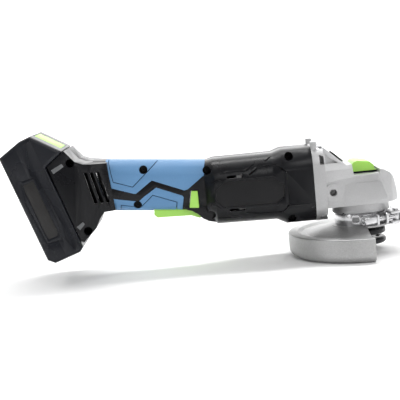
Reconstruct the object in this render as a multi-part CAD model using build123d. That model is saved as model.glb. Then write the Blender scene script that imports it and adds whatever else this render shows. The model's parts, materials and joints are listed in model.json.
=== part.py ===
from build123d import *
from math import atan, cos, pi, radians, sin, sqrt, tan
import os

# Cordless angle grinder with a brushless motor, a bevel gear head, a quick-clamp guard and a
# slide-on battery. Millimetres. The origin is the end of the spindle, on the spindle's axis:
# +Z runs up the spindle, +X points to the nose of the gear case, and the battery is towards -X.

# ---------------------------------------------------------------- driving dimensions
TILT = 5.5            # degrees by which the handle rises towards its rear
SLANT = 24.5          # degrees by which the battery leans back from the handle's own upright
WALL = 2.6            # moulded wall of the housing
SKIN = 1.6            # thickness of the soft grip panels
EDGE = 0.5            # small broken edge on turned parts

# spindle and what it carries
THREAD_R = 7.0        # M14 spindle thread
SEAT_Z = 14.0         # plane on which the disc sits
FLANGE_R = 22.4       # clamping flange and lock nut
HUB_R = 11.1          # disc hub, for a 22.2 mm disc bore
NUT_Z0, NUT_Z1 = 4.7, 9.9
THREAD_END_Z = 4.5    # the thread's free end, below the nut
RELIEF = 0.5          # the shank above it is this much slimmer
JOURNAL_R = 7.5       # lower bearing seat
GEAR_SEAT_R = 6.5
TOP_JOURNAL_R = 5.0
FLANGE_TOP_Z = 23.5
SHOULDER_Z = 39.0
SPINDLE_TOP_Z = 68.5

# bevel gears
GEAR_TEETH, PINION_TEETH = 40, 11
GEAR_R = 21.0         # pitch radius at the outer end
FACE_IN = 15.2        # inner end of the teeth
TOOTH_SHARE = 0.34    # part of the pitch that a tooth fills
MOTOR_Z = 68.5        # height of the motor's axis
LOCK_HOLES = 8
LOCK_X = 12.4         # radius of the lock pin's circle
LOCK_PIN_R = 2.2
LOCK_PIN_TOP_Z = 75.6
RUN = 0.05            # radial clearance of a running fit

# gear case and bearing cap
CASE_BOTTOM_Z = 39.5
SKIRT_Z = 45.5        # lower edge of the gear case's side walls
CASE_CAVITY_R = 22.8
BUSH_TOP_Z = 69.3
POCKET_Z = 70.5       # floor of the pocket under the spindle-lock button
JOINT_X = -46.0       # face where the gear case meets the housing
FLANGE_FRONT_X = -35.0
FLANGE_HALF = 35.2
EAR_X, EAR_Z = -40.6, 108.6   # lugs that stand up from the flange
CAP_R = 27.4
CAP_NECK_R = 23.75
CAP_NECK_Z0, CAP_FLANGE_Z0 = 24.6, 36.5
HANDLE_BOSS_X, HANDLE_BOSS_Z = -29.0, 60.0
HANDLE_BOSS_Y = 34.5
HANDLE_THREAD_R = 3.4  # M8, drilled for the thread
HANDLE_THREAD_DEPTH = 13.0

# guard for a 125 mm disc
GUARD_R = 71.7
GUARD_RIM_Z = 20.2
DISH_Z = 17.8         # floor of the dish inside the rim's raised bead
GUARD_LOW_Z = -2.5
GUARD_T = 1.6
GUARD_COVER = 182.0
CURL_R = 8.0
COLLAR_R = 25.6
COLLAR_Z0, COLLAR_Z1 = 24.7, 36.2
CLAMP_AZ = -65.0      # direction of the collar's gap
CLAMP_R = 32.0        # distance of the clamp screw from the spindle
CLAMP_Z = 30.6

# motor
SHAFT_R = 4.0
STATOR_X0, STATOR_X1 = -100.0, -78.0
STATOR_R = 25.5
ROTOR_R = 13.0
AIR_GAP = 0.6
FAN_X0, FAN_X1 = -59.0, -49.0
FAN_R = 24.0

# housing, in the handle's own frame for the grip and the foot
BARREL_Z = 69.4
BARREL_H, BARREL_W = 64.0, 66.0
GRIP_H, GRIP_W = 48.5, 43.0
GRIP_Z = 62.6
SCREW_WELL_R = 4.0
PACK_HALF_Y = 38.0
PACK_T = 36.0
PACK_BOTTOM, PACK_TOP = -8.0, 109.0
TOWER_Z = 77.5
RAIL_Z = 15.0         # lower end of the battery's rails
BUTTON_TRAVEL = 1.6
BLADE_Y = (-10.0, -3.5, 3.5, 10.0)
CELL_R, CELL_L = 9.2, 65.0
HINGE_X, HINGE_Z = -158.6, 38.4   # pin of the paddle switch

HANDLE = Pos(0, 0, SEAT_Z - 16) * Rot(0, TILT, 0)
PACK = HANDLE * Pos(-271.5, 0, 12.1) * Rot(0, -SLANT, 0)


# ---------------------------------------------------------------- small shapes
def rod_x(r, x0, x1, y=0.0, z=MOTOR_Z):
    return Pos((x0 + x1) / 2, y, z) * Rot(0, 90, 0) * Cylinder(r, x1 - x0)


def rod_y(r, y0, y1, x, z):
    return Pos(x, (y0 + y1) / 2, z) * Rot(90, 0, 0) * Cylinder(r, y1 - y0)


def rod_z(r, z0, z1, x=0.0, y=0.0):
    return Pos(x, y, (z0 + z1) / 2) * Cylinder(r, z1 - z0)


def block(x0, x1, y0, y1, z0, z1):
    return Pos((x0 + x1) / 2, (y0 + y1) / 2, (z0 + z1) / 2) * Box(x1 - x0, y1 - y0, z1 - z0)


def outline(points, radius=0.0):
    if radius:
        return make_face(FilletPolyline(*points, radius=radius, close=True))
    return make_face(Polyline(*points, close=True))


def side_prism(points, y0, y1, radius=0.0):
    """A side view in X and Z, given its width in Y."""
    return extrude(Plane.XZ.offset(-y1) * outline(points, radius), y1 - y0)


def plan_prism(points, z0, z1, radius=0.0):
    """A plan view in X and Y, given its height in Z."""
    return extrude(Plane.XY.offset(z0) * outline(points, radius), z1 - z0)


def turned(points):
    """A profile of radius and height, turned about the spindle's axis."""
    return revolve(Plane.XZ * outline(points), Axis.Z)


def section_x(x, z, height, width, radius):
    return Plane.YZ.offset(x) * Pos(0, z) * RectangleRounded(width, height, radius)


def around_z(shape, count, start=0.0):
    return [Rot(0, 0, start + 360.0 * i / count) * shape for i in range(count)]


def along_motor(shape):
    """Turns a shape made about Z so that it lies about the motor's axis, +Z becoming +X."""
    return Pos(0, 0, MOTOR_Z) * Rot(0, 90, 0) * shape


def mirrored(shape):
    return mirror(shape, about=Plane.XZ)


def save(node, *solids):
    shape = solids[0] if len(solids) == 1 else Compound(children=list(solids))
    export_step(shape, "parts/%s.step" % node)


# ---------------------------------------------------------------- bearings
def bearing(bore_r, outer_r, width, balls):
    """Inner ring, outer ring and balls of a deep-groove bearing, centred on the origin."""
    pitch_r = (bore_r + outer_r) / 2
    ball_r = 0.31 * (outer_r - bore_r)
    lip = 0.55 * ball_r
    groove = Torus(pitch_r, ball_r + RUN)
    inner = Cylinder(pitch_r - lip, width) - Cylinder(bore_r, width) - groove
    outer = Cylinder(outer_r, width) - Cylinder(pitch_r + lip, width) - groove
    ball = Pos(pitch_r, 0, 0) * Sphere(ball_r)
    return inner, outer, around_z(ball, balls)


# ---------------------------------------------------------------- spindle group
def spindle():
    profile = [(0, 0), (THREAD_R - EDGE, 0), (THREAD_R, EDGE), (THREAD_R, THREAD_END_Z),
               (THREAD_R - RELIEF, THREAD_END_Z), (THREAD_R - RELIEF, FLANGE_TOP_Z),
               (JOURNAL_R, FLANGE_TOP_Z), (JOURNAL_R, SHOULDER_Z), (9.0, SHOULDER_Z),
               (9.0, 43.0), (GEAR_SEAT_R, 43.0), (GEAR_SEAT_R, 62.0), (TOP_JOURNAL_R, 62.0),
               (TOP_JOURNAL_R, SPINDLE_TOP_Z - EDGE), (TOP_JOURNAL_R - EDGE, SPINDLE_TOP_Z),
               (0, SPINDLE_TOP_Z)]
    return turned(profile)


def inner_flange():
    body = turned([(THREAD_R - RELIEF, SEAT_Z - 2), (HUB_R, SEAT_Z - 2), (HUB_R, SEAT_Z),
                   (FLANGE_R - EDGE, SEAT_Z), (FLANGE_R, SEAT_Z + EDGE),
                   (FLANGE_R, SEAT_Z + 4.4), (FLANGE_R - 2, SEAT_Z + 5.4), (11.5, SEAT_Z + 5.4),
                   (10.0, FLANGE_TOP_Z), (THREAD_R - RELIEF, FLANGE_TOP_Z)])
    relief = rod_z(16.5, SEAT_Z - 0.1, SEAT_Z + 0.8) - rod_z(HUB_R, SEAT_Z - 0.2, SEAT_Z + 0.9)
    return body - relief


def lock_nut():
    bore = THREAD_R + RUN
    body = turned([(bore, NUT_Z0), (FLANGE_R - 1.2, NUT_Z0), (FLANGE_R, NUT_Z0 + 1.2),
                   (FLANGE_R, NUT_Z1 - 1.6), (FLANGE_R - 1.6, NUT_Z1), (bore, NUT_Z1)])
    recess = rod_z(16.0, NUT_Z1 - 0.7, NUT_Z1 + 1) - rod_z(10.5, NUT_Z1 - 1, NUT_Z1 + 2)
    dish = rod_z(18.0, NUT_Z0 - 1, NUT_Z0 + 0.9) - rod_z(11.0, NUT_Z0 - 2, NUT_Z0 + 2)
    spanner_holes = [rod_z(2.5, NUT_Z0 - 1, NUT_Z1 + 1, 15.0 * c, 15.0 * s)
                     for c, s in ((0, 1), (0, -1), (1, 0), (-1, 0))]
    return body - recess - dish - spanner_holes


def crown_tooth():
    """One tooth of the crown gear at azimuth 0: every section shrinks towards the apex."""
    pitch_slope = PINION_TEETH / GEAR_TEETH
    module = 2.0 / GEAR_TEETH
    half_pitch = TOOTH_SHARE * pi / GEAR_TEETH
    tip_h, root_h = 0.75 * module, 1.5 * module
    flank = tan(radians(20))
    wires = []
    for r in (FACE_IN, GEAR_R + 0.3):
        corners = [(-half_pitch - root_h * flank, -pitch_slope - root_h),
                   (half_pitch + root_h * flank, -pitch_slope - root_h),
                   (half_pitch - tip_h * flank, -pitch_slope + tip_h),
                   (-half_pitch + tip_h * flank, -pitch_slope + tip_h)]
        wires.append(Wire.make_polygon([(r, y * r, MOTOR_Z + z * r) for y, z in corners]))
    return Solid.make_loft(wires, ruled=True)


def crown_gear():
    module = 2.0 / GEAR_TEETH
    root_slope = PINION_TEETH / GEAR_TEETH + 1.25 * module
    rim_r = GEAR_R + 0.3
    blank = turned([(GEAR_SEAT_R, 43.0), (12.0, 43.0), (13.0, 51.0), (rim_r, 56.5),
                    (rim_r, MOTOR_Z - root_slope * rim_r), (FACE_IN, MOTOR_Z - root_slope * FACE_IN),
                    (FACE_IN, 61.6), (GEAR_SEAT_R, 61.6)])
    teeth = around_z(crown_tooth(), GEAR_TEETH, 180.0 / GEAR_TEETH)
    lock_hole = rod_z(LOCK_PIN_R + 0.3, 50.0, 62.5, LOCK_X)
    return blank + teeth - around_z(lock_hole, LOCK_HOLES)


def pinion_tooth():
    """One involute tooth of the pinion, pointing down, in sections that shrink to the apex."""
    pitch_r = PINION_TEETH / GEAR_TEETH
    module = 2.0 / GEAR_TEETH
    base_r = pitch_r * cos(radians(20))
    root_r, tip_r = pitch_r - 1.2 * module, pitch_r + 0.75 * module
    half_pitch = TOOTH_SHARE * pi / PINION_TEETH

    def half_angle(r):
        pressure = 0.0 if r <= base_r else sqrt((r / base_r) ** 2 - 1)
        return half_pitch + tan(radians(20)) - radians(20) - (pressure - atan(pressure))

    steps = [root_r - 0.2 * module, base_r, pitch_r, (pitch_r + tip_r) / 2, tip_r]
    flank = [(r * sin(half_angle(r)), -r * cos(half_angle(r))) for r in steps]
    section = [(-y, z) for y, z in flank] + flank[::-1]
    wires = []
    for a in (FACE_IN - 0.4, GEAR_R + 0.2):
        wires.append(Wire.make_polygon([(-a, y * a, MOTOR_Z + z * a) for y, z in section]))
    return Solid.make_loft(wires, ruled=True)


def pinion():
    root_slope = PINION_TEETH / GEAR_TEETH - 1.2 * 2.0 / GEAR_TEETH
    a0, a1 = FACE_IN - 0.4, GEAR_R + 0.2
    core = loft([Plane.YZ.offset(-a1) * Pos(0, MOTOR_Z) * Circle(root_slope * a1),
                 Plane.YZ.offset(-a0) * Pos(0, MOTOR_Z) * Circle(root_slope * a0)])
    tooth = pinion_tooth()
    axis = Axis((0, 0, MOTOR_Z), (1, 0, 0))
    teeth = [tooth.rotate(axis, 360.0 * i / PINION_TEETH) for i in range(PINION_TEETH)]
    hub = rod_x(4.7, -31.0, -a1) - rod_x(3.5, -31.0, -23.0)
    return core + teeth + hub


# ---------------------------------------------------------------- gear head
def case_profile():
    """Side view of the gear case in front of its flange."""
    return [(-40.0, 104.0), (-34.6, 103.0), (-13.4, 83.4), (-8.4, 84.0), (-8.0, 74.0),
            (16.5, 74.0), (16.8, 77.6), (22.0, 76.0), (26.6, 73.2), (31.0, 68.0), (34.2, 55.8),
            (34.8, 44.0), (33.0, CASE_BOTTOM_Z), (-40.0, CASE_BOTTOM_Z)]


def case_plan():
    """Plan view of the gear case: a broad nose that widens a little towards the flange."""
    return [(-40.0, -33.5), (-24.0, -31.5), (14.0, -29.5), (28.0, -22.5), (35.6, -9.0),
            (35.6, 9.0), (28.0, 22.5), (14.0, 29.5), (-24.0, 31.5), (-40.0, 33.5)]


def case_front():
    """Front view of the gear case: shoulders slope in above the side panels."""
    return [(-34.0, 39.0), (34.0, 39.0), (34.0, 68.0), (25.0, 80.0), (17.0, 103.0),
            (-17.0, 103.0), (-25.0, 80.0), (-34.0, 68.0)]


def flange_plate(x0, x1, grow=0.0):
    size = 2 * (FLANGE_HALF + grow)
    return extrude(section_x(x0, MOTOR_Z, size, size - 1.0, 17.0), x1 - x0)


def gear_screw_places():
    return [(22.0, 98.5), (-22.0, 98.5), (26.0, 40.6), (-26.0, 40.6)]


def gear_case():
    solid = side_prism(case_profile(), -40, 40)
    solid = solid & plan_prism(case_plan(), 30, 110, 6.0)
    front = extrude(Plane.YZ.offset(-41) * outline(case_front(), 5.0), 80)
    solid = solid & front
    # the side walls stop above the bearing cap's round seat
    skirt = block(FLANGE_FRONT_X, 40, -40, 40, CASE_BOTTOM_Z - 1, SKIRT_Z)
    solid = solid - (skirt - rod_z(CAP_R, CASE_BOTTOM_Z - 2, SKIRT_Z + 1))
    # flange with its ears for the four long screws
    solid = solid + flange_plate(JOINT_X, FLANGE_FRONT_X)
    for side in (1, -1):
        solid = solid + block(JOINT_X, EAR_X, *sorted((side * 17.0, side * 26.6)), 94.0, EAR_Z)
    for side in (1, -1):
        boss_y0, boss_y1 = sorted((side * 26.0, side * HANDLE_BOSS_Y))
        solid = solid + rod_y(8.3, boss_y0, boss_y1, HANDLE_BOSS_X, HANDLE_BOSS_Z)
        panel = side_prism([(-19.0, 49.0), (-16.0, 66.5), (17.0, 66.5), (22.5, 49.0)],
                           *sorted((side * 28.0, side * 31.2)), radius=2.0)
        solid = solid + panel
    # hollows: gear chamber, pinion tunnel, bearing seat and the fan side
    solid = solid - rod_z(CASE_CAVITY_R, CASE_BOTTOM_Z - 1, 67.5)
    solid = solid + rod_z(9.6, 62.4, 68.0) - rod_z(7.5, 62.0, BUSH_TOP_Z)
    solid = solid - rod_x(7.8, -35.0, -12.6)
    solid = solid - rod_x(11.0, -42.0, -35.0) - rod_x(9.5, -43.0, -42.0)
    solid = solid - rod_x(27.0, JOINT_X - 1, -42.5)
    # pocket under the spindle-lock button, and the pin's guide hole
    solid = solid - block(-8.0, 16.4, -17.2, 17.2, POCKET_Z, 90)
    solid = solid - rod_z(LOCK_PIN_R + RUN, 60.0, 72.0, LOCK_X)
    solid = solid - rod_z(3.6, POCKET_Z - 1.0, POCKET_Z + 1, LOCK_X)
    for y, z in gear_screw_places():
        solid = solid - rod_x(4.9, -42.5, -34.0, y, z) - rod_x(2.15, JOINT_X - 1, -34.0, y, z)
    for side in (1, -1):
        mouth_y0, mouth_y1 = sorted((side * (HANDLE_BOSS_Y - HANDLE_THREAD_DEPTH),
                                     side * (HANDLE_BOSS_Y + 1)))
        solid = solid - rod_y(HANDLE_THREAD_R, mouth_y0, mouth_y1, HANDLE_BOSS_X, HANDLE_BOSS_Z)
        # exhaust mouths beside the ramp
        vent_y0, vent_y1 = sorted((side * 15.0, side * 36.0))
        solid = solid - side_prism([(-39.5, 87.5), (-39.5, 96.5), (-35.5, 95.0), (-35.5, 87.5)],
                                   vent_y0, vent_y1)
        solid = solid - side_prism([(-33.0, 86.5), (-33.0, 95.0), (-21.0, 86.5)],
                                   *sorted((side * 19.5, side * 36.0)))
    for x, y in cap_screw_places():
        solid = solid - rod_z(1.5, CASE_BOTTOM_Z - 1, 50.0, x, y)
    return solid


def cap_screw_places():
    r = 25.4
    return [(r * cos(radians(a)), r * sin(radians(a))) for a in (45, 135, 225, 315)]


def bearing_cap():
    body = turned([(17.5, 27.9), (17.5, CASE_BOTTOM_Z), (CAP_R, CASE_BOTTOM_Z),
                   (CAP_R, CAP_FLANGE_Z0 + EDGE), (CAP_R - EDGE, CAP_FLANGE_Z0),
                   (CAP_NECK_R, CAP_FLANGE_Z0), (CAP_NECK_R, CAP_NECK_Z0), (11.0, CAP_NECK_Z0),
                   (11.0, 27.9)])
    for x, y in cap_screw_places():
        body = body - rod_z(1.6, 35, 41, x, y)
        body = body - Pos(x, y, CAP_FLANGE_Z0 + 0.75) * Cone(2.9, 1.6, 1.5)
        body = body - rod_z(2.9, 34, CAP_FLANGE_Z0 + 0.01, x, y)
    return body


def bearing_cap_screws():
    screws = []
    for x, y in cap_screw_places():
        head = Pos(x, y, CAP_FLANGE_Z0 + 0.75) * Cone(2.85, 1.45, 1.5)
        socket = Pos(x, y, CAP_FLANGE_Z0) * Cylinder(1.1, 1.6)
        screws.append(head + rod_z(1.45, CAP_FLANGE_Z0 + 1.5, 49.0, x, y) - socket)
    return screws


def gear_case_screws():
    screws = []
    for y, z in gear_screw_places():
        head = rod_x(4.3, -42.5, -38.5, y, z)
        socket = Pos(-38.5, y, z) * Rot(0, 90, 0) * extrude(RegularPolygon(1.9, 6), 2.2, both=True)
        screws.append(head - socket + rod_x(2.0, -58.0, -42.5, y, z))
    return screws


def spindle_lock_button():
    """A cap with a low step in front of it, under which the lock pin is held."""
    shape = side_prism([(-7.4, 74.2), (-7.4, 83.0), (-5.6, 85.0), (-2.0, 85.8), (9.6, 84.2),
                        (13.0, 80.8), (13.8, 77.0), (15.8, 76.4), (15.8, 74.2)], -16.4, 16.4, 0.6)
    hollow = side_prism([(-5.8, 73.0), (-5.8, 82.0), (-1.6, 84.0), (8.6, 82.6), (11.6, 79.6),
                         (12.2, 73.0)], -14.6, 14.6)
    stem = rod_z(3.4, 74.3, 86.0, LOCK_X) & shape
    return shape - hollow + stem - rod_z(LOCK_PIN_R, 70.0, LOCK_PIN_TOP_Z, LOCK_X)


def spindle_lock_pin():
    return rod_z(LOCK_PIN_R, 62.2, LOCK_PIN_TOP_Z, LOCK_X)


def spindle_lock_spring():
    coil = Helix(pitch=1.1, height=3.8, radius=2.9, center=(LOCK_X, 0, POCKET_Z - 0.6))
    start = Plane(origin=coil @ 0, z_dir=coil % 0)
    return sweep(start * Circle(0.3), path=coil)


# ---------------------------------------------------------------- guard and its clamp
def guard():
    """A dished plate, a deep rim and a rolled-in lip, turned through the guarded half."""
    t = GUARD_T
    low, rim = GUARD_LOW_Z, GUARD_RIM_Z
    r = GUARD_R
    turn = CURL_R * (1 - cos(radians(45)))
    outer = [Line((CAP_NECK_R + RUN, COLLAR_Z0), (COLLAR_R, COLLAR_Z0)),
             Line((COLLAR_R, COLLAR_Z0), (54.0, DISH_Z)),
             Line((54.0, DISH_Z), (59.5, DISH_Z)),
             Line((59.5, DISH_Z), (62.5, rim)),
             Line((62.5, rim), (r - 1.4, rim)),
             ThreePointArc((r - 1.4, rim), (r - 0.4, rim - 0.4), (r, rim - 1.4)),
             Line((r, rim - 1.4), (r, low + CURL_R)),
             ThreePointArc((r, low + CURL_R), (r - turn, low + turn), (r - CURL_R, low)),
             Line((r - CURL_R, low), (r - CURL_R, low + t)),
             ThreePointArc((r - CURL_R, low + t),
                           (r - turn - t * sin(radians(45)), low + turn + t * sin(radians(45))),
                           (r - t, low + CURL_R)),
             Line((r - t, low + CURL_R), (r - t, rim - t)),
             Line((r - t, rim - t), (63.0, rim - t)),
             Line((63.0, rim - t), (60.0, DISH_Z - t)),
             Line((60.0, DISH_Z - t), (53.8, DISH_Z - t)),
             Line((53.8, DISH_Z - t), (COLLAR_R, COLLAR_Z0 - t)),
             Line((COLLAR_R, COLLAR_Z0 - t), (CAP_NECK_R + RUN, COLLAR_Z0 - t)),
             Line((CAP_NECK_R + RUN, COLLAR_Z0 - t), (CAP_NECK_R + RUN, COLLAR_Z0))]
    profile = Plane.XZ * make_face(outer)
    half = Rot(0, 0, 180 - GUARD_COVER / 2) * revolve(profile, Axis.Z, GUARD_COVER)
    hub = turned([(CAP_NECK_R + RUN, COLLAR_Z0 - t), (29.0, COLLAR_Z0 - t - 0.55),
                  (29.0, COLLAR_Z0 - 0.55), (COLLAR_R, COLLAR_Z0), (CAP_NECK_R + RUN, COLLAR_Z0)])
    return half + hub


def clamp_direction():
    a = radians(CLAMP_AZ)
    return Vector(cos(a), sin(a), 0), Vector(-sin(a), cos(a), 0)


def clamp_frame():
    """Frame of the clamp screw: x runs along the screw, y inwards to the spindle, z up."""
    out, along = clamp_direction()
    centre = out * CLAMP_R + Vector(0, 0, CLAMP_Z)
    return Location(Plane(origin=centre, x_dir=along, z_dir=(0, 0, 1)))


def clamp_band():
    band = turned([(CAP_NECK_R + RUN, COLLAR_Z0), (COLLAR_R, COLLAR_Z0), (COLLAR_R, COLLAR_Z1),
                   (CAP_NECK_R + RUN, COLLAR_Z1)])
    frame = clamp_frame()
    gap = frame * block(-4.0, 4.0, -6.0, 12.0, -10, 10)
    band = band - gap
    for side in (-1, 1):
        x0, x1 = sorted((side * 4.0, side * 6.4))
        ear = block(x0, x1, -5.0, 9.5, -5.4, 5.4)
        ear = fillet(ear.edges().filter_by(Axis.X).group_by(Axis.Y)[0], 2.5)
        ear = ear - rod_x(2.6, -8, 8, 0, 0)
        placed = frame * ear - rod_z(CAP_NECK_R + RUN, 20, 40)
        band = band + placed
    slot = block(-30, -22, -3.6, 3.6, CLAMP_Z - 1.6, CLAMP_Z + 1.6)
    slot = fillet(slot.edges().filter_by(Axis.X), 1.5)
    for azimuth in (70.0, -70.0):
        band = band - Rot(0, 0, azimuth) * slot
    return band


def clamp_screw():
    shank = rod_x(2.5, -19.0, 16.0, 0, 0)
    eye = rod_z(3.4, -3.2, 3.2, 18.0)
    return clamp_frame() * (shank + eye - rod_z(1.55, -4, 4, 18.0))


def clamp_nut():
    body = Rot(0, 90, 0) * extrude(RegularPolygon(5.2, 6, major_radius=True), 12.6)
    nut = Pos(-19.0, 0, 0) * body
    nut = nut - rod_x(2.5, -20, -5, 0, 0)
    return clamp_frame() * nut


def clamp_pivot_pin():
    pin = rod_z(1.5, -6.2, 6.2, 18.0) + rod_z(3.0, 6.2, 7.6, 18.0) + rod_z(2.6, -7.2, -6.2, 18.0)
    return clamp_frame() * pin


def clamp_lever():
    """Forked cam lever that lies round the front of the collar when it is closed."""
    cheek = rod_z(9.0, -6.0, 6.0, 18.0)
    cheek = cheek & block(8.9, 30, -5.0, 9.0, -7, 7)
    slot = block(6.0, 23.6, -10, 10, -3.35, 3.35)
    fork = cheek - slot - rod_z(1.55, -8, 8, 18.0)
    frame = clamp_frame()
    reach = turned([(33.0, CLAMP_Z - 5.0), (35.4, CLAMP_Z - 5.0), (35.4, CLAMP_Z + 5.0),
                    (33.0, CLAMP_Z + 5.0)])
    wedge = plan_prism([(0, 0), (60 * cos(radians(-23)), 60 * sin(radians(-23))), (60, 0),
                        (60 * cos(radians(24)), 60 * sin(radians(24)))], 10, 50)
    arm = reach & wedge
    return frame * fork + arm


# ---------------------------------------------------------------- motor
def motor_shaft():
    return (rod_x(3.5, -31.2, -23.2) + rod_x(SHAFT_R, -108.0, -31.2)
            + rod_x(3.0, -115.0, -108.0))


def rotor_core():
    core = rod_x(ROTOR_R - 2, STATOR_X0 + 0.5, STATOR_X1 - 0.5)
    relief = [rod_x(1.6, STATOR_X0, STATOR_X1, 6.9 * cos(radians(a)), MOTOR_Z + 6.9 * sin(radians(a)))
              for a in range(0, 360, 60)]
    return core - rod_x(SHAFT_R, -110, -70) - relief


def rotor_magnets():
    ring = rod_x(ROTOR_R, STATOR_X0 + 0.5, STATOR_X1 - 0.5) - rod_x(ROTOR_R - 2, -110, -70)
    gaps = [block(-110, -70, -20, 20, MOTOR_Z - 0.6, MOTOR_Z + 0.6).rotate(
        Axis((0, 0, MOTOR_Z), (1, 0, 0)), a) for a in (45, 135)]
    return (ring - gaps).solids()


def stator_slot_angles():
    return [60.0 * i for i in range(6)]


def stator_core():
    ring = rod_x(STATOR_R, STATOR_X0, STATOR_X1) - rod_x(21.0, -110, -70)
    axis = Axis((0, 0, MOTOR_Z), (1, 0, 0))
    bore_r = ROTOR_R + AIR_GAP
    foot = rod_x(bore_r + 2.0, STATOR_X0, STATOR_X1) & block(-110, -70, -6.4, 6.4, MOTOR_Z, 100)
    tooth = block(STATOR_X0, STATOR_X1, -3.0, 3.0, MOTOR_Z + bore_r, MOTOR_Z + 21.5) + foot
    teeth = [tooth.rotate(axis, a) for a in stator_slot_angles()]
    return ring + teeth - rod_x(bore_r, -110, -70)


def stator_insulators():
    axis = Axis((0, 0, MOTOR_Z), (1, 0, 0))
    frames = []
    for x0, x1 in ((STATOR_X0 - 1.2, STATOR_X0), (STATOR_X1, STATOR_X1 + 1.2)):
        ring = rod_x(STATOR_R - 0.5, x0, x1) - rod_x(21.0, -110, -70)
        spokes = [block(x0, x1, -3.4, 3.4, MOTOR_Z + 14.2, MOTOR_Z + 21.5).rotate(axis, a)
                  for a in stator_slot_angles()]
        frames.append(ring + spokes)
    return frames


def stator_windings():
    axis = Axis((0, 0, MOTOR_Z), (1, 0, 0))
    outer = block(STATOR_X0 - 4.6, STATOR_X1 + 4.6, -6.4, 6.4, MOTOR_Z + 15.8, MOTOR_Z + 19.8)
    outer = fillet(outer.edges().filter_by(Axis.Z), 3.0)
    inner = block(STATOR_X0 - 1.3, STATOR_X1 + 1.3, -3.5, 3.5, MOTOR_Z + 15, MOTOR_Z + 21)
    return [(outer - inner).rotate(axis, a) for a in stator_slot_angles()]


def hall_board():
    board = rod_x(21.0, -108.2, -106.6) - rod_x(8.0, -109, -106)
    chips = [block(-106.6, -105.2, y - 1.5, y + 1.5, MOTOR_Z + 10.5, MOTOR_Z + 14) for y in (-8, 0, 8)]
    return board + chips


def cooling_fan():
    axis = Axis((0, 0, MOTOR_Z), (1, 0, 0))
    disc = rod_x(FAN_R, FAN_X0, FAN_X0 + 1.6)
    hub = rod_x(8.0, FAN_X0, FAN_X1)
    blade = Pos(0, 0, MOTOR_Z) * block(FAN_X0 + 1.6, FAN_X1, -0.7, 0.7, 7.5, FAN_R - 0.4)
    blade = blade.rotate(Axis((0, 0, MOTOR_Z + 15), (1, 0, 0)), 24)
    blades = [blade.rotate(axis, 360.0 * i / 13) for i in range(13)]
    return disc + hub + blades - rod_x(SHAFT_R, -62, -46)


def fan_baffle():
    return rod_x(28.4, FAN_X0 - 2.7, FAN_X0 - 1.4) - rod_x(18.0, FAN_X0 - 4, FAN_X0)


# ---------------------------------------------------------------- housing
def barrel(inset):
    """The motor barrel with its broader front collar, in the tool's frame."""
    def ring(x, z, h, w, r):
        return section_x(x, z, h - 2 * inset, w - 2 * inset, r - inset)
    collar = extrude(ring(-73.5, MOTOR_Z, 70.8, 69.4, 19.0), JOINT_X + 73.5)
    step = loft([ring(-82.5, BARREL_Z - 0.3, BARREL_H, BARREL_W, 22.0),
                 ring(-73.5, MOTOR_Z, 70.8, 69.4, 19.0)])
    middle = loft([ring(-139.0, BARREL_Z, BARREL_H - 1.0, BARREL_W, 23.0),
                   ring(-82.5, BARREL_Z - 0.3, BARREL_H, BARREL_W, 22.0)])
    rear = loft([ring(-148.0 + inset, BARREL_Z + 2.0, BARREL_H - 9.0, GRIP_W + 4.0, 19.0),
                 ring(-139.0, BARREL_Z, BARREL_H - 1.0, BARREL_W, 23.0)])
    return collar + step + middle + rear


def grip_body(inset, x0=-262.0, x1=-146.0):
    """The handle's oval bar, in the handle's frame."""
    section = section_x(x0, GRIP_Z, GRIP_H - 2 * inset, GRIP_W - 2 * inset, 15.5 - inset)
    return extrude(section, x1 - x0)


def foot_profile():
    """Side view of the foot that carries the battery, in the handle's frame."""
    return [(-248.0, 85.6), (-269.0, 85.6), (-276.6, 88.0), (-286.7, 98.0), (-302.3, 83.2),
            (-271.2, 12.6), (-268.6, 12.0), (-257.6, 24.4), (-254.4, 33.0), (-250.4, 39.2),
            (-240.0, 40.6)]


def foot_plan(inset):
    half = 35.6 - inset
    neck = GRIP_W / 2 - inset
    return [(-239.0, -neck), (-239.0, neck), (-250.0, neck + 2.0), (-262.0, half - 2.0),
            (-276.0, half), (-312.0, half), (-312.0, -half), (-276.0, -half),
            (-262.0, -half + 2.0), (-250.0, -neck - 2.0)]


def foot_body(inset):
    side = Plane.XZ.offset(-40) * outline(foot_profile())
    if inset:
        side = offset(side, -inset, kind=Kind.INTERSECTION)
    solid = extrude(side, 80)
    return solid & plan_prism(foot_plan(inset), 0, 110, 5.0)


def housing_screw_places():
    """Screws of the clamshell, in the tool's X and Z, and the depth at which each head sits."""
    in_handle = [(-153.4, 78.6, -11.0), (-148.6, 36.6, -11.0), (-213.5, 79.0, -11.0),
                 (-218.9, 45.4, -11.0), (-281.0, 86.6, -14.0), (-264.9, 22.6, -14.0)]
    places = []
    for x, z, y in in_handle:
        point = (HANDLE * Pos(x, 0, z)).position
        places.append((point.X, point.Z, y))
    return places + [(-67.5, 97.6, -14.0), (-68.8, 38.8, -14.0)]


def grip_panel_upper():
    return [(-251.6, 95.0), (-244.8, 61.8), (-222.7, 56.4), (-220.4, 56.4), (-205.4, 69.1),
            (-174.6, 59.6), (-171.4, 60.6), (-155.6, 74.5), (-155.0, 95.0)]


def grip_panel_lower():
    return [(-241.7, 51.3), (-220.4, 49.0), (-217.7, 49.0), (-204.1, 61.8), (-201.3, 62.3),
            (-176.5, 54.6), (-175.2, 53.1), (-177.6, 30.0), (-238.5, 30.0)]


def grip_skin(points):
    """A soft panel, one wall of the handle's surface, on the right-hand side."""
    skin = grip_body(0) - grip_body(SKIN) - side_prism(paddle_opening(), -13.4, 13.4)
    return skin & side_prism(points, -30, 0)


def label_outline():
    return [(-129.4, 79.5), (-138.1, 72.6), (-138.3, 62.2), (-132.2, 55.8), (-82.4, 54.8),
            (-74.6, 60.5), (-73.6, 72.3), (-83.6, 78.9)]


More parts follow.
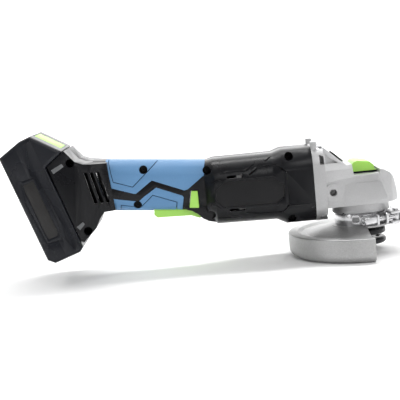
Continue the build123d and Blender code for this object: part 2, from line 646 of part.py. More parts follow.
def paddle_opening():
    return [(-204.5, 20.0), (-204.5, 44.0), (-154.4, 44.0), (-154.4, 20.0)]


def pack_carrier():
    """Block inside the foot that the rails run in, open towards the tower end."""
    return block(0.9, 18.0, -29.0, 29.0, 0.0, TOWER_Z + 6)


def pack_channel():
    """Room in the carrier for the battery's rails and for the terminal block."""
    return block(-6.0, 12.6, -22.5, 22.5, RAIL_Z - 1.2, 120.0) + block(12.0, 15.0, -16.0, 16.0, 22.0, 46.0)


def pack_ribs():
    """Ribs of the carrier that run in the grooves of the battery's rails."""
    return (block(2.4, 6.6, 18.9, 23.0, RAIL_Z + 2, TOWER_Z - 3)
            + block(2.4, 6.6, -23.0, -18.9, RAIL_Z + 2, TOWER_Z - 3))


def battery_clear():
    """Everything that the battery fills beyond its own interface plane."""
    return (block(-60, 0.8, -50, 50, -30, 130)
            + side_prism([(-5, 75.3), (30, 87.4), (30, 130), (-5, 130)], -50, 50))


def motor_ribs():
    """Ribs across the barrel that hold the stator and the rear bearing."""
    ribs = []
    for x0, x1 in ((-97.0, -94.0), (-84.0, -81.0)):
        ribs.append(rod_x(34.0, x0, x1) - rod_x(STATOR_R, x0 - 1, x1 + 1))
    rear = rod_x(34.0, -117.5, -109.5) - rod_x(9.5, -115.5, -109.0) - rod_x(6.5, -118, -115)
    windows = [Pos(-113.5, 0, MOTOR_Z) * Rot(a, 0, 0) * Pos(0, 0, 19.0) * Box(10, 14, 9)
               for a in (0, 90, 180, 270)]
    return ribs + [rear - windows]


def housing_shell():
    outer = barrel(0) + HANDLE * (grip_body(0) + foot_body(0))
    inner = barrel(WALL) + HANDLE * (grip_body(WALL) + foot_body(WALL))
    front_mouth = extrude(section_x(-75.0, MOTOR_Z, 64.0, 62.0, 17.0), 30)
    shell = outer - inner - front_mouth - PACK * pack_channel()
    bosses = []
    for x, z, y in housing_screw_places():
        bosses.append(rod_y(SCREW_WELL_R + 1.4, -60, 60, x, z) & outer)
    ribs = [rib & outer for rib in motor_ribs()]
    for y, z in gear_screw_places():
        bosses.append(outer & (rod_x(5.2, -60.0, JOINT_X, y, z) + Pos(-60.0, y, z) * Sphere(5.2)))
    carrier = PACK * pack_carrier() & HANDLE * foot_body(0.5)
    carrier = carrier - PACK * pack_channel() + PACK * pack_ribs()
    shell = shell + bosses + ribs + carrier
    # web in the middle of the foot's neck, behind the air inlets
    web = HANDLE * (block(-274.0, -247.0, -1.2, 1.2, 42.0, 84.0) & foot_body(1.0))
    shell = shell + (web - PACK * pack_channel())
    cut = [HANDLE * side_prism(paddle_opening(), -13.4, 13.4), PACK * battery_clear(),
           HANDLE * rod_y(1.5, -16.0, 16.0, HINGE_X, HINGE_Z)]
    cut = cut + [rod_x(2.0, -58.0, -40.0, y, z) for y, z in gear_screw_places()]
    # room for the stator, the rotor, the fan and the shaft
    cut = cut + [rod_x(STATOR_R, STATOR_X0 - 0.01, STATOR_X1 + 0.01)]
    shell = shell - cut
    # windows for the lock-off button, and the air inlets
    window = [(-170.4, 42.2), (-168.6, 59.8), (-161.4, 59.8), (-159.6, 42.2)]
    shell = shell - HANDLE * side_prism(window, -40, 40)
    for z in (83.5, 52.2):
        slot = block(-127.0, -112.0, -40, 40, z - 1.3, z + 1.3)
        shell = shell - fillet(slot.edges().filter_by(Axis.Y), 1.2)
    for i in range(3):
        x = -267.0 + 5.4 * i
        slot = [(x - 1.6, 78.0), (x + 1.6, 78.0), (x + 11.2, 48.0), (x + 8.0, 48.0)]
        shell = shell - HANDLE * side_prism(slot, -40, 40, 1.2)
    return shell


def screw_cuts():
    """Wells in the right half, pilot holes in the left half."""
    cuts = []
    for x, z, y in housing_screw_places():
        cuts.append(rod_y(SCREW_WELL_R, -60, y, x, z))
        cuts.append(rod_y(2.1, y - 1, 0, x, z))
        cuts.append(rod_y(1.8, -1, 11.0, x, z))
    return cuts


def housing_screws():
    screws = []
    for x, z, y in housing_screw_places():
        head = rod_y(3.5, y - 2.6, y, x, z)
        recess = Pos(x, y - 2.6, z) * Rot(90, 0, 0) * extrude(RegularPolygon(1.5, 6), 1.6, both=True)
        screws.append(head - recess + rod_y(1.75, y, 10.6, x, z))
    return screws


def housing_half(shell, side):
    half = shell & block(-400, 0, *sorted((0, side * 60)), -60, 140)
    panels = grip_skin(grip_panel_upper()) + grip_skin(grip_panel_lower())
    if side > 0:
        panels = mirrored(panels)
    half = half - HANDLE * panels
    plate = side_prism(label_outline(), *sorted((side * (BARREL_W / 2 - 1.5), side * 40)))
    return half - plate


def rating_plate():
    half = BARREL_W / 2
    plate = side_prism(label_outline(), -half + 0.9, -half + 1.5)
    slots = [block(-128.0, -111.0, -40, 0, z - 2.2, z + 2.2) for z in (83.5, 52.2)]
    return plate - slots


# ---------------------------------------------------------------- switch


def paddle_switch():
    shape = side_prism([(-203.6, 41.4), (-203.6, 35.0), (-200.4, 32.2), (-190.0, 33.0),
                        (-168.0, 34.4), (-160.0, 32.0), (-155.2, 34.0), (-155.2, 41.4)],
                       -13.0, 13.0, 1.6)
    hollow = side_prism([(-202.0, 39.0), (-202.0, 36.2), (-199.5, 34.4), (-168.0, 36.6),
                         (-163.0, 36.0), (-163.0, 50.0), (-202.0, 50.0)], -11.2, 11.2)
    post = block(-190.5, -185.5, -3.0, 3.0, 34.0, 38.6)
    shape = shape - hollow + post
    return HANDLE * (shape - rod_y(1.55, -20, 20, HINGE_X, HINGE_Z))


def paddle_pin():
    return HANDLE * rod_y(1.5, -16.0, 16.0, HINGE_X, HINGE_Z)


def switch_body():
    body = block(-198.0, -178.0, -8.0, 8.0, 46.0, 62.0)
    body = body - rod_z(2.55, 45.0, 56.0, -188.0)
    terminals = [block(x, x + 2.5, -2.0, 2.0, 62.0, 64.5) for x in (-189.0, -182.0)]
    return HANDLE * (body + terminals)


def switch_plunger():
    return HANDLE * (rod_z(2.5, 39.2, 51.0, -188.0))


def lock_off_button():
    cap = side_prism([(-169.6, 43.0), (-168.0, 59.0), (-162.0, 59.0), (-160.4, 43.0)],
                     -GRIP_W / 2 - 0.6, GRIP_W / 2 - 3.4, 0.8)
    return HANDLE * cap


def controller_board():
    board = block(-246.0, -206.0, -15.0, 15.0, 60.0, 61.6)
    sink = block(-244.0, -208.0, -14.0, 14.0, 64.4, 68.4)
    fins = [block(-244.0, -208.0, y, y + 1.2, 68.4, 73.0) for y in (-13.0, -8.2, -3.4, 1.4, 6.2, 11.0)]
    chips = [block(x, x + 5.0, y, y + 6.0, 61.6, 64.4) for x in (-240.0, -230.0, -220.0)
             for y in (-11.0, 5.0)]
    return HANDLE * (board + sink + fins + chips)


def motor_leads():
    """Three leads from the controller to the motor's rear, as straight runs with bends."""
    leads = []
    for i in range(3):
        y = -3.2 + 3.2 * i
        path = FilletPolyline((-205.9, y, 63.0), (-201.0, y, 63.0), (-193.0, y, 69.5),
                              (-172.0, y, 71.0), (-150.0, y, 66.0), radius=3.5)
        start = Plane(origin=path @ 0, z_dir=path % 0)
        leads.append(HANDLE * sweep(start * Circle(1.2), path=path))
    return leads


def terminal_block():
    body = block(8.0, 15.0, -15.9, 15.9, 22.0, 46.0)
    blades = [block(2.0, 8.0, y - 0.5, y + 0.5, 26.0, 42.0) for y in BLADE_Y]
    return PACK * (body + blades)


# ---------------------------------------------------------------- battery
def pack_side():
    """Side view of the battery in its own frame: x towards the tool, z up the rails."""
    return [(-PACK_T, -2.5), (-30.4, PACK_BOTTOM), (-4.6, PACK_BOTTOM), (0.2, -4.6), (0.2, TOWER_Z),
            (20.6, 84.6), (-1.0, PACK_TOP + 1.0), (-12.0, PACK_TOP + 0.6), (-PACK_T, 103.0)]


def pack_solid(inset):
    half = PACK_HALF_Y - inset
    side = Plane.XZ.offset(-half) * outline(pack_side(), 0 if inset else 1.5)
    if inset:
        return extrude(offset(side, -inset, kind=Kind.INTERSECTION), 2 * half)
    solid = extrude(side, 2 * half)
    rim = solid.edges().filter_by(lambda e: abs(abs((e @ 0.5).Y) - half) < 0.01)
    return fillet(rim, 3.5)


def pack_split():
    return block(-70, -PACK_T / 2, -60, 60, -40, 150)


def button_outline():
    """Side view of the release button, which lies flush in the tower's sloping face."""
    return [(17.9, 87.8), (0.3, 108.5), (-2.8, 105.9), (5.8, 95.9), (16.5, 86.6)]


def button_press():
    """The way the release button moves, square to the tower's sloping face."""
    along = Vector(PACK_TOP + 1.0 - 84.6, 0, -20.6 - 1.0).normalized()
    return Vector(-along.X, 0, along.Z) * BUTTON_TRAVEL


def button_room():
    face = offset(Plane.XZ.offset(-17.4) * outline(button_outline()), 0.4, kind=Kind.INTERSECTION)
    room = extrude(face, 34.8)
    press = button_press()
    return room + Pos(press.X, 0, press.Z) * room


def battery_case():
    shell = pack_solid(0) - pack_solid(2.2)
    rails = block(0, 12.0, -22.0, 22.0, RAIL_Z, TOWER_Z - 4.0)
    grooves = [block(2.0, 7.0, *sorted((s * 22.1, s * 18.5)), RAIL_Z - 1, TOWER_Z) for s in (1, -1)]
    slots = [block(-2.4, 13.0, y - 1.2, y + 1.2, RAIL_Z - 1, 48.0) for y in BLADE_Y]
    bay = block(6.4, 16.6, -17.2, 17.2, RAIL_Z - 1, 48.0)
    shell = shell + (rails - grooves - bay) - slots - button_room()
    for y, z in pack_screw_places():
        fin = block(-36.0, -3.0, y - 1.2, y + 1.2, *sorted((z, 1.8 * z)))
        shell = shell + ((rod_x(3.9, -36.0, -3.0, y, z) + fin) & pack_solid(0.5))
        shell = shell - rod_x(2.8, -40.0, -31.6, y, z) - rod_x(1.4, -32.0, -12.0, y, z)
    recess = side_prism([(-27.0, 14.0), (-15.0, 14.0), (-15.0, 72.0), (-27.0, 72.0)], -60, -37.2)
    return shell - recess - mirrored(recess)


def battery_cells():
    cells = []
    for i in range(5):
        z = 10.4 + 18.9 * i
        cap = rod_y(3.0, CELL_L / 2, CELL_L / 2 + 0.8, -18.4, z)
        cells.append(PACK * (rod_y(CELL_R, -CELL_L / 2, CELL_L / 2, -18.4, z) + cap))
    return cells


def battery_board():
    return PACK * (block(-4.0, -2.6, -28.0, 28.0, 6.0, 74.0))


def battery_terminals():
    clips = []
    for y in BLADE_Y:
        for side in (-1, 1):
            near, far = sorted((y + side * 0.55, y + side * 0.95))
            clips.append(PACK * block(-2.6, 5.6, near, far, 28.0, 40.0))
    return clips


def battery_release_button():
    return PACK * side_prism(button_outline(), -17.0, 17.0)


def pack_screw_places():
    return [(y, z) for y in (-30.0, 30.0) for z in (-2.9, 99.6)]


def battery_screws():
    screws = []
    for y, z in pack_screw_places():
        screws.append(PACK * (rod_x(2.8, -34.0, -31.6, y, z) + rod_x(1.4, -31.6, -12.0, y, z)))
    return screws


# ---------------------------------------------------------------- write every piece
os.makedirs("parts", exist_ok=True)

save("spindle", spindle())
save("inner_flange", inner_flange())
save("lock_nut", lock_nut())
save("crown_gear", crown_gear())
inner, outer, balls = bearing(JOURNAL_R, 17.5, 11.0, 8)
spindle_bearing = Pos(0, 0, 33.4)
save("spindle_bearing_inner", spindle_bearing * inner)
save("spindle_bearing_outer", spindle_bearing * outer)
save("spindle_bearing_balls", *[spindle_bearing * ball for ball in balls])
save("spindle_bush", rod_z(7.5, 62.6, BUSH_TOP_Z) - rod_z(TOP_JOURNAL_R + RUN, 60, 70))

save("gear_case", gear_case())
save("gear_case_screws", *gear_case_screws())
save("bearing_cap", bearing_cap())
save("bearing_cap_screws", *bearing_cap_screws())
save("spindle_lock_button", spindle_lock_button())
save("spindle_lock_pin", spindle_lock_pin())
save("spindle_lock_spring", spindle_lock_spring())

save("guard", guard())
save("clamp_band", clamp_band())
save("clamp_screw", clamp_screw())
save("clamp_nut", clamp_nut())
save("clamp_pivot_pin", clamp_pivot_pin())
save("clamp_lever", clamp_lever())

save("pinion", pinion())
save("motor_shaft", motor_shaft())
save("rotor_core", rotor_core())
save("rotor_magnets", *rotor_magnets())
save("stator_core", stator_core())
save("stator_insulators", *stator_insulators())
save("stator_windings", *stator_windings())
save("hall_board", hall_board())
save("cooling_fan", cooling_fan())
save("fan_baffle", fan_baffle())
motor_balls = []
for name, x, bore_r, outer_r, width, count in (("front", -38.5, SHAFT_R, 11.0, 7.0, 7),
                                               ("rear", -112.5, 3.0, 9.5, 6.0, 7)):
    inner, outer, balls = bearing(bore_r, outer_r, width, count)
    place = Pos(x, 0, 0)
    save("motor_%s_bearing_inner" % name, place * along_motor(inner))
    save("motor_%s_bearing_outer" % name, place * along_motor(outer))
    motor_balls += [place * along_motor(ball) for ball in balls]
save("motor_bearing_balls", *motor_balls)

shell = housing_shell()
screw_holes = screw_cuts()
save("housing_right", housing_half(shell, -1) - screw_holes)
save("housing_left", housing_half(shell, 1) - screw_holes)
save("housing_screws", *housing_screws())
save("rating_plate", rating_plate())
for level, points in (("upper", grip_panel_upper()), ("lower", grip_panel_lower())):
    panel = HANDLE * grip_skin(points) - screw_holes
    save("grip_%s_right" % level, panel)
    save("grip_%s_left" % level, HANDLE * mirrored(grip_skin(points)))

save("paddle_switch", paddle_switch())
save("paddle_pin", paddle_pin())
save("switch_body", switch_body())
save("switch_plunger", switch_plunger())
save("lock_off_button", lock_off_button())
save("controller_board", controller_board())
save("motor_leads", *motor_leads())
save("terminal_block", terminal_block())

case = battery_case()
save("battery_case_outer", PACK * (case & pack_split()))
save("battery_case_inner", PACK * (case - pack_split()))
save("battery_cells", *battery_cells())
save("battery_board", battery_board())
save("battery_terminals", *battery_terminals())
save("battery_release_button", battery_release_button())
save("battery_screws", *battery_screws())
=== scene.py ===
import json
import math

import bpy
from mathutils import Matrix, Vector

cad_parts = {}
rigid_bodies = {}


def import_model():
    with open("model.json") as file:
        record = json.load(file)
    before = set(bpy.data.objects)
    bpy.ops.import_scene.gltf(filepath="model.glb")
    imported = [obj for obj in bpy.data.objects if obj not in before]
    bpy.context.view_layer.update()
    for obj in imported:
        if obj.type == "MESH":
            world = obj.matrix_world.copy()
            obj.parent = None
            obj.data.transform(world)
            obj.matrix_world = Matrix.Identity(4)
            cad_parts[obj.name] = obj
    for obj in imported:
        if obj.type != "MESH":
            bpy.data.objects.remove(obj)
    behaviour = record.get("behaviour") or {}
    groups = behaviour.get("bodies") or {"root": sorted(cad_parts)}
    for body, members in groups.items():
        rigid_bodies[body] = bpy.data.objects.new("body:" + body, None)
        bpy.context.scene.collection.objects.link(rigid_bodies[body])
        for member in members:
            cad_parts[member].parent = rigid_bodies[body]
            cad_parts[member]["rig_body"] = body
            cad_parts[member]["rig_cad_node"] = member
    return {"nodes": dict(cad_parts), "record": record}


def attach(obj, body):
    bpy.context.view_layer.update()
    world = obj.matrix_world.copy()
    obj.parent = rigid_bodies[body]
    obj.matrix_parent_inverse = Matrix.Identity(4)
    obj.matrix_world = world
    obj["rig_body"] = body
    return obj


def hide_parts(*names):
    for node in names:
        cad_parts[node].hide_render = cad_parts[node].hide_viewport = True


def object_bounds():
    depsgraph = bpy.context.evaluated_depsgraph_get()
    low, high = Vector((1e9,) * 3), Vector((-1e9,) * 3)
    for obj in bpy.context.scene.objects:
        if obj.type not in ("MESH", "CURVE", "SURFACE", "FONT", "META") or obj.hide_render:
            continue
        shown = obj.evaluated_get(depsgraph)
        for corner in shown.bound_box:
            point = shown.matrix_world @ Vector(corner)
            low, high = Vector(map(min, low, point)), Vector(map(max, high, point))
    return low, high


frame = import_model()
cad_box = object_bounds()
nodes = frame["nodes"]
body_of = {node: body for body, members in frame["record"]["behaviour"]["bodies"].items()
           for node in members}
MM = 0.001

# ------------------------------------------------------------------ camera, light and floor
# The tool is seen from its right-hand side, a little from above, with the handle level. The head
# is set at 5.5 degrees to the handle, so the camera is turned with the handle's own axis.
handle_tilt = math.radians(5.5)
look_down = math.radians(7.6)
camera_distance = 1.0
view_width = 0.388
handle_frame = Matrix.Translation((0, 0, -2 * MM)) @ Matrix.Rotation(handle_tilt, 4, "Y")
look_at = Vector((-159.7 * MM, 0, 47.6 * MM))
look_axis = Vector((0, math.cos(look_down), -math.sin(look_down)))
stand = Matrix.Translation(look_at - look_axis * camera_distance)
turn = Matrix.Rotation(math.pi / 2 - look_down, 4, "X")
bpy.ops.object.camera_add()
camera = bpy.context.active_object
camera.matrix_world = handle_frame @ stand @ turn
sensor_width = 36.0
camera.data.sensor_width = sensor_width
camera.data.lens = sensor_width * camera_distance / view_width
camera.data.clip_start = 0.01
bpy.context.scene.camera = camera

world = bpy.data.worlds.new("studio")
world.use_nodes = True
bpy.context.scene.world = world
world.node_tree.nodes["Background"].inputs["Color"].default_value = (1.0, 1.0, 1.0, 1.0)
world.node_tree.nodes["Background"].inputs["Strength"].default_value = 0.22
bpy.context.scene.view_settings.view_transform = "Standard"

centre = Vector((-0.15, 0.0, 0.05))


def soft_box(name, place, size, power):
    """A rectangular area lamp that faces the tool."""
    bpy.ops.object.light_add(type="AREA", location=place)
    lamp = bpy.context.active_object
    lamp.name = name
    lamp.data.shape = "RECTANGLE"
    lamp.data.size, lamp.data.size_y = size
    lamp.data.energy = power
    lamp.rotation_euler = (centre - Vector(place)).to_track_quat("-Z", "Y").to_euler()
    return lamp


soft_box("key_light", (0.25, -0.85, 0.70), (0.8, 0.4), 3.9)
soft_box("top_light", (-0.1, -0.10, 1.1), (1.2, 0.20), 1.5)
soft_box("side_light", (0.85, -0.35, 0.45), (0.3, 0.7), 1.6)
soft_box("left_light", (-1.0, -0.55, 0.45), (0.25, 0.8), 1.3)

# One pale sheet makes the floor and, curving up behind the tool, the backdrop.
sheet_size = (14.0, 5.0, 1.0)
sheet_rise = 4.0
curve_width = 1.6
below_tool = 0.2 * MM
bpy.ops.mesh.primitive_plane_add(size=1.0)
floor = bpy.context.active_object
floor.name = "floor"
bpy.ops.object.mode_set(mode="EDIT")
bpy.ops.transform.resize(value=sheet_size)
bpy.ops.transform.translate(value=(0, 0, cad_box[0][2] - below_tool))
bpy.ops.mesh.select_all(action="DESELECT")
bpy.ops.object.mode_set(mode="OBJECT")
for edge in floor.data.edges:
    edge.select = all(floor.data.vertices[v].co.y > 0.4 * sheet_size[1] for v in edge.vertices)
bpy.ops.object.mode_set(mode="EDIT")
bpy.ops.mesh.extrude_region_move(TRANSFORM_OT_translate={"value": (0, 0, sheet_rise)})
bpy.ops.object.mode_set(mode="OBJECT")
fold = floor.modifiers.new("curve_up", "BEVEL")
fold.width = curve_width
fold.segments = 12
fold.limit_method = "ANGLE"
bpy.ops.object.modifier_apply(modifier=fold.name)
bpy.ops.object.shade_smooth()
backdrop_lamp = soft_box("backdrop_light", (0.0, 0.9, 2.6), (4.0, 1.0), 150.0)
backdrop_lamp.rotation_euler = (math.radians(40), 0, 0)
bpy.context.view_layer.objects.active = floor
floor_paint = bpy.data.materials.new("pale_floor")
floor_paint.use_nodes = True
floor_shader = floor_paint.node_tree.nodes["Principled BSDF"]
floor_shader.inputs["Base Color"].default_value = (0.93, 0.93, 0.93, 1.0)
floor_shader.inputs["Roughness"].default_value = 0.85
floor.data.materials.append(floor_paint)


# ------------------------------------------------------------------ motor housing
# Two halves of glass-filled nylon, moulded black with a fine spark texture and screwed together
# from the right-hand side. They run from the battery foot to the gear case.
def surface(name, colour, roughness, grain=900.0, depth=0.12, spread=0.08, mottle=0.12,
            metallic=0.0, specular=0.5, streak=None):
    """A finish with fine grain in its relief and a slow drift in colour and gloss."""
    grain_share = 0.45
    drift_scale = 28.0
    paint = bpy.data.materials.new(name)
    paint.use_nodes = True
    tree = paint.node_tree
    shader = tree.nodes["Principled BSDF"]
    shader.inputs["Metallic"].default_value = metallic
    shader.inputs["Specular IOR Level"].default_value = specular
    place = tree.nodes.new("ShaderNodeTexCoord")
    source = place.outputs["Object"]
    if streak:
        stretch = tree.nodes.new("ShaderNodeMapping")
        stretch.inputs["Scale"].default_value = streak
        tree.links.new(source, stretch.inputs["Vector"])
        source = stretch.outputs["Vector"]
    fine = tree.nodes.new("ShaderNodeTexNoise")
    fine.inputs["Scale"].default_value = grain
    fine.inputs["Detail"].default_value = 3.0
    tree.links.new(source, fine.inputs["Vector"])
    slow = tree.nodes.new("ShaderNodeTexNoise")
    slow.inputs["Scale"].default_value = drift_scale
    slow.inputs["Detail"].default_value = 4.0
    tree.links.new(place.outputs["Object"], slow.inputs["Vector"])
    shade = tree.nodes.new("ShaderNodeMix")
    shade.data_type = "RGBA"
    shade.inputs["A"].default_value = (*[c * (1 - mottle) for c in colour], 1.0)
    shade.inputs["B"].default_value = (*[min(1.0, c * (1 + mottle)) for c in colour], 1.0)
    blend = tree.nodes.new("ShaderNodeMath")
    blend.operation = "MULTIPLY_ADD"
    blend.inputs[1].default_value = grain_share
    tree.links.new(fine.outputs["Fac"], blend.inputs[0])
    drift = tree.nodes.new("ShaderNodeMath")
    drift.operation = "MULTIPLY"
    drift.inputs[1].default_value = 1.0 - grain_share
    tree.links.new(slow.outputs["Fac"], drift.inputs[0])
    tree.links.new(drift.outputs[0], blend.inputs[2])
    tree.links.new(blend.outputs[0], shade.inputs["Factor"])
    tree.links.new(shade.outputs["Result"], shader.inputs["Base Color"])
    gloss = tree.nodes.new("ShaderNodeMapRange")
    gloss.inputs["From Min"].default_value = 0.3
    gloss.inputs["From Max"].default_value = 0.7
    gloss.inputs["To Min"].default_value = max(0.03, roughness - spread)
    gloss.inputs["To Max"].default_value = min(1.0, roughness + spread)
    tree.links.new(slow.outputs["Fac"], gloss.inputs["Value"])
    tree.links.new(gloss.outputs["Result"], shader.inputs["Roughness"])
    bump = tree.nodes.new("ShaderNodeBump")
    bump.inputs["Strength"].default_value = depth
    bump.inputs["Distance"].default_value = 0.25 * MM
    tree.links.new(fine.outputs["Fac"], bump.inputs["Height"])
    tree.links.new(bump.outputs["Normal"], shader.inputs["Normal"])
    return paint


def dress(paint, *names):
    """Give nodes that keep their own mesh a better finish."""
    for name in names:
        slots = nodes[name].data.materials
        slots.clear()
        slots.append(paint)


def trail(points, width):
    """The outline of a band of even width that follows a bent line."""
    corners = [Vector(point) for point in points]
    left, right = [], []
    for i, corner in enumerate(corners):
        before = (corner - corners[i - 1]).normalized() if i else None
        after = (corners[i + 1] - corner).normalized() if i + 1 < len(corners) else None
        along = ((before or after) + (after or before)).normalized()
        across = Vector((-along.y, along.x))
        reach = 0.5 * width / max(0.4, along.dot(after or before))
        left.append(corner + across * reach)
        right.append(corner - across * reach)
    return [tuple(point) for point in left + right[::-1]]


def side_block(name, corners, near, far, place):
    """A flat plate seen from the side: its corners in mm, from depth near to depth far."""
    bpy.ops.object.select_all(action="DESELECT")
    bpy.ops.mesh.primitive_circle_add(vertices=len(corners), radius=10 * MM, fill_type="NGON")
    piece = bpy.context.active_object
    piece.name = name
    for vertex, (x, z) in zip(piece.data.vertices, corners):
        vertex.co = place @ Vector((x * MM, near * MM, z * MM))
    bpy.ops.object.mode_set(mode="EDIT")
    bpy.ops.mesh.select_all(action="SELECT")
    bpy.ops.mesh.extrude_region_move(
        TRANSFORM_OT_translate={"value": (0, (far - near) * MM, 0)})
    bpy.ops.mesh.select_all(action="SELECT")
    bpy.ops.mesh.normals_make_consistent(inside=False)
    bpy.ops.mesh.select_all(action="DESELECT")
    bpy.ops.object.mode_set(mode="OBJECT")
    return piece


def engrave(piece, cutters):
    """Take the shape of each cutter out of the piece, and put the cutter away."""
    for cutter in cutters:
        bpy.context.view_layer.objects.active = piece
        cut = piece.modifiers.new("engraving", "BOOLEAN")
        cut.operation = "DIFFERENCE"
        cut.solver = "EXACT"
        cut.object = cutter
        bpy.ops.object.modifier_apply(modifier=cut.name)
        bpy.data.objects.remove(cutter)


def moulding(name, width, paint, cutters=(), segments=2):
    """A moulded or cast part: its lines are engraved and its edges rounded, as tooling does."""
    weld = 0.002 * MM
    parting_depth = 0.02 * MM
    flat = math.radians(0.05)
    sharp = math.radians(32)
    smooth_below = math.radians(28)
    bpy.ops.object.select_all(action="DESELECT")
    piece = nodes[name].copy()
    piece.data = nodes[name].data.copy()
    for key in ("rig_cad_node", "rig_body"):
        if key in piece:
            del piece[key]
    piece.parent = None
    piece.name = name + "_moulding"
    bpy.context.scene.collection.objects.link(piece)
    bpy.context.view_layer.objects.active = piece
    piece.select_set(True)
    bpy.ops.object.mode_set(mode="EDIT")
    bpy.ops.mesh.select_all(action="SELECT")
    bpy.ops.mesh.remove_doubles(threshold=weld)
    bpy.ops.mesh.select_mode(type="FACE")
    bpy.ops.mesh.select_all(action="DESELECT")
    bpy.ops.object.mode_set(mode="OBJECT")
    # flat faces are joined, but not the wide parting faces where two shells meet
    for face in piece.data.polygons:
        face.select = abs(face.center.y) > parting_depth
    bpy.ops.object.mode_set(mode="EDIT")
    bpy.ops.mesh.dissolve_limited(angle_limit=flat)
    bpy.ops.mesh.select_all(action="DESELECT")
    bpy.ops.object.mode_set(mode="OBJECT")
    if piece.data.has_custom_normals:
        bpy.ops.mesh.customdata_custom_splitnormals_clear()
    engrave(piece, cutters)
    bevel = piece.modifiers.new("rounded_edges", "BEVEL")
    bevel.width = width * MM
    bevel.segments = segments
    bevel.limit_method = "ANGLE"
    bevel.angle_limit = sharp
    bevel.miter_outer = "MITER_ARC"
    bpy.ops.object.modifier_apply(modifier=bevel.name)
    bpy.ops.object.shade_smooth_by_angle(angle=smooth_below)
    piece.data.materials.clear()
    piece.data.materials.append(paint)
    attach(piece, body_of[name])
    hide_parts(name)
    piece.select_set(False)
    return piece


black_plastic = surface("black_nylon", (0.0060, 0.0063, 0.0078), 0.30, grain=1500.0, depth=0.3,
                        spread=0.07, mottle=0.3, specular=0.24)
dress(black_plastic, "fan_baffle")
# Fine lines in the moulding: round the label's recess, over the barrel's shoulders and along the
# border of the foot. Each is a flat cut a little below the skin.
tool_frame = Matrix.Identity(4)
barrel_lines = [
    (30.4, [(-133.5, 87.5), (-121.0, 88.4), (-109.5, 88.0)]),
    (27.6, [(-109.8, 87.8), (-98.6, 94.2), (-89.5, 94.6)]),
    (21.6, [(-90.0, 94.6), (-82.0, 99.6)]),
    (28.6, [(-106.0, 83.8), (-96.5, 91.0), (-79.5, 91.0)]),
    (31.2, [(-79.8, 91.0), (-71.2, 83.6)]),
    (33.9, [(-71.0, 83.4), (-70.4, 53.6)]),
    (31.6, [(-71.6, 52.4), (-77.0, 46.6)]),
    (27.9, [(-78.0, 46.2), (-98.0, 46.6), (-112.0, 48.6)]),
    (25.6, [(-137.5, 45.6), (-120.0, 44.8), (-104.0, 43.2)]),
    (30.8, [(-141.0, 80.0), (-134.6, 82.8), (-131.4, 80.8)]),
    (32.1, [(-134.6, 75.6), (-142.0, 69.0), (-141.8, 61.6), (-135.4, 55.2)]),
]
foot_lines = [
    (34.9, [(-285.6, 84.6), (-274.5, 84.0), (-270.7, 70.4), (-266.3, 51.5), (-265.3, 37.4),
            (-274.8, 24.3)]),
]
line_width, outside = 1.0, 40
for side, half in ((-1, "housing_right"), (1, "housing_left")):
    cutters = []
    for lines, place in ((barrel_lines, tool_frame), (foot_lines, handle_frame)):
        for depth, points in lines:
            cutters.append(side_block("line", trail(points, line_width), side * depth,
                                      side * outside, place))
    shell = moulding(half, 0.45, black_plastic, cutters)

# ------------------------------------------------------------------ lock-off guide
# A black sleeve lines the window that the lock-off slide runs in. It is moulded with the same
# nylon and leaves a thin running gap round the slide.
guide = side_block("lock_off_guide", [(-170.2, 42.4), (-168.5, 59.6), (-161.5, 59.6),
                                      (-159.8, 42.4)], -19.0, 15.0, handle_frame)
bore = side_block("bore", [(-169.8, 42.8), (-168.2, 59.2), (-161.8, 59.2), (-160.2, 42.8)],
                  -30.0, 30.0, handle_frame)
engrave(guide, [bore])
guide.data.materials.append(black_plastic)
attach(guide, "housing")

# ------------------------------------------------------------------ hinge cheeks
# A moulded cheek on each side hides the paddle's pin. Its lower edge curves down from the grip to
# the barrel, and it stands clear of the paddle.
def round_and_fit(piece, rim, paint, body, segments=3):
    """Round a plate's rim, give it its finish and fix it to a body."""
    bevel = piece.modifiers.new("rounded_rim", "BEVEL")
    bevel.width = rim * MM
    bevel.segments = segments
    bpy.ops.object.modifier_apply(modifier=bevel.name)
    bpy.ops.object.shade_smooth_by_angle(angle=math.radians(35))
    piece.data.materials.append(paint)
    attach(piece, body)


cheek_side = [(-175.0, 43.5), (-172.0, 40.2), (-167.0, 39.2), (-161.5, 36.2), (-156.4, 31.8),
              (-151.0, 29.4), (-144.0, 28.6), (-144.0, 43.5)]
for side, word in ((-1, "right"), (1, "left")):
    cheek = side_block("hinge_cheek_" + word, cheek_side, side * 13.7, side * 17.6, handle_frame)
    round_and_fit(cheek, 0.9, black_plastic, "housing")

# ------------------------------------------------------------------ label border
# A narrow raised border with eight sides is moulded round the label's recess on each side of the
# barrel, in the same nylon.
border_outer = [(-128.8, 81.4), (-139.7, 73.2), (-139.9, 61.4), (-132.8, 53.8), (-81.8, 52.8),
                (-72.8, 59.6), (-71.8, 73.0), (-83.0, 81.0)]
border_inner = [(-129.4, 79.5), (-138.1, 72.6), (-138.3, 62.2), (-132.2, 55.8), (-82.4, 54.8),
                (-74.6, 60.5), (-73.6, 72.3), (-83.6, 78.9)]
for side, word in ((-1, "right"), (1, "left")):
    border = side_block("label_border_" + word, border_outer, side * 31.4, side * 33.5,
                        tool_frame)
    engrave(border, [side_block("bore", border_inner, side * 20.0, side * 45.0, tool_frame)])
    round_and_fit(border, 0.45, black_plastic, "housing")

